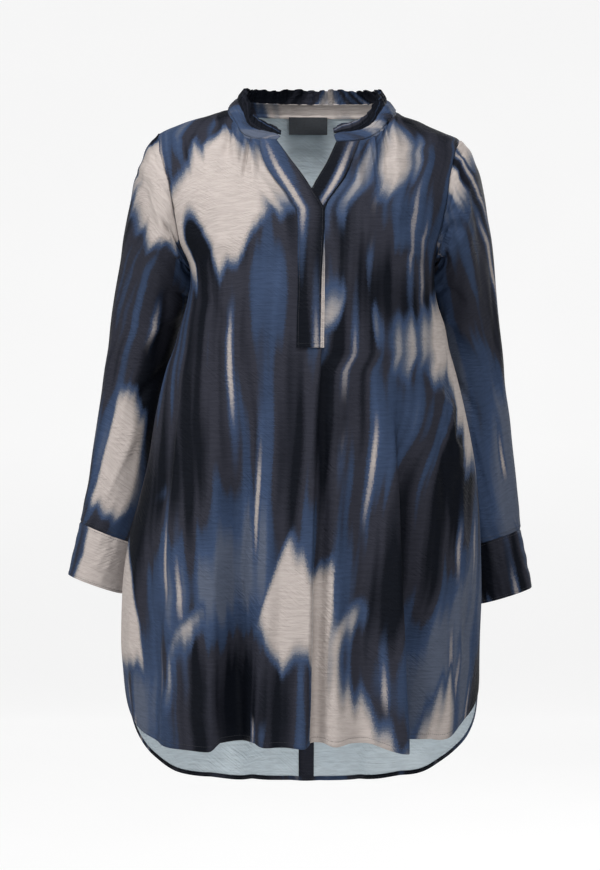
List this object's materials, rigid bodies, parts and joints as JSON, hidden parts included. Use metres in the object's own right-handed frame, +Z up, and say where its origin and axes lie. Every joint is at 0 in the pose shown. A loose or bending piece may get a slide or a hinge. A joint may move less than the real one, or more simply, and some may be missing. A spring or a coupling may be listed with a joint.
{
  "type": "tunic top",
  "caption": "Loose long-sleeved tunic with a frilled stand collar, a split neck placket, cuffs and a dipped shirt-tail hem.",
  "frame": {"origin": "middle of the neck opening at shoulder height, on the line of the shoulder seams, where the wearer's shoulders hold the garment", "axes": "+Z up; the front faces -Y; the wearer's left is at +X"},
  "size_m": [0.624, 0.3178, 0.931],
  "materials": {
    "printed_cloth": "soft sheen, smeared print of charcoal, blue and beige",
    "label_cloth": "plain woven"
  },
  "bodies": {
    "root": {"front": "printed_cloth", "back": "printed_cloth", "sleeve_right": "printed_cloth", "sleeve_left": "printed_cloth", "cuff_right": "printed_cloth", "cuff_left": "printed_cloth", "placket_upper": "printed_cloth", "placket_lower": "printed_cloth", "collar_band": "printed_cloth", "collar_frill": "printed_cloth", "back_strip": "printed_cloth", "neck_label": "label_cloth"}
  },
  "joints": []
}
